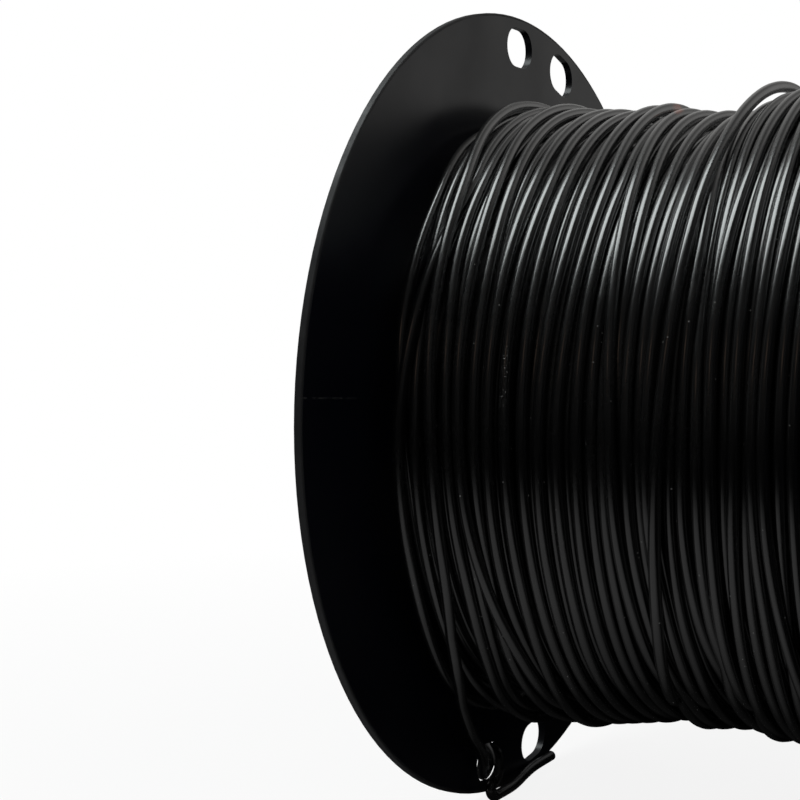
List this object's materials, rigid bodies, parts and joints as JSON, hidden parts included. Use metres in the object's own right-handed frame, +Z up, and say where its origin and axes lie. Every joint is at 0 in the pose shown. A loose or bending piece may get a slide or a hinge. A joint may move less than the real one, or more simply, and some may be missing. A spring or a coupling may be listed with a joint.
{
  "type": "wire spool",
  "caption": "Wire spool with thin flanges snapped onto a hollow barrel, wound with loose layers of insulated solid wire whose free end is threaded through an anchor hole.",
  "frame": {"origin": "centre of the arbor bore at the middle of the spool's width", "axes": "+X along the spool's axis, away from the flange that the wire's free end is threaded through; +Z up as the spool stands on its two rims, with the free end's anchor hole at the bottom; +Y is level, to the back"},
  "size_m": [0.1237, 0.21, 0.21],
  "materials": {
    "flange_plastic": "satin moulded black",
    "barrel_plastic": "satin moulded black",
    "arbor_plastic": "satin moulded black",
    "wire_jacket": "glossy extruded black",
    "copper": "bright cut copper"
  },
  "bodies": {
    "root": {"left_flange": "flange_plastic", "right_flange": "flange_plastic", "barrel": "barrel_plastic", "arbor_tube": "arbor_plastic", "inner_layers": "wire_jacket", "outer_layer": "wire_jacket", "wire_tail": "wire_jacket", "tail_conductor": "copper"}
  },
  "joints": []
}
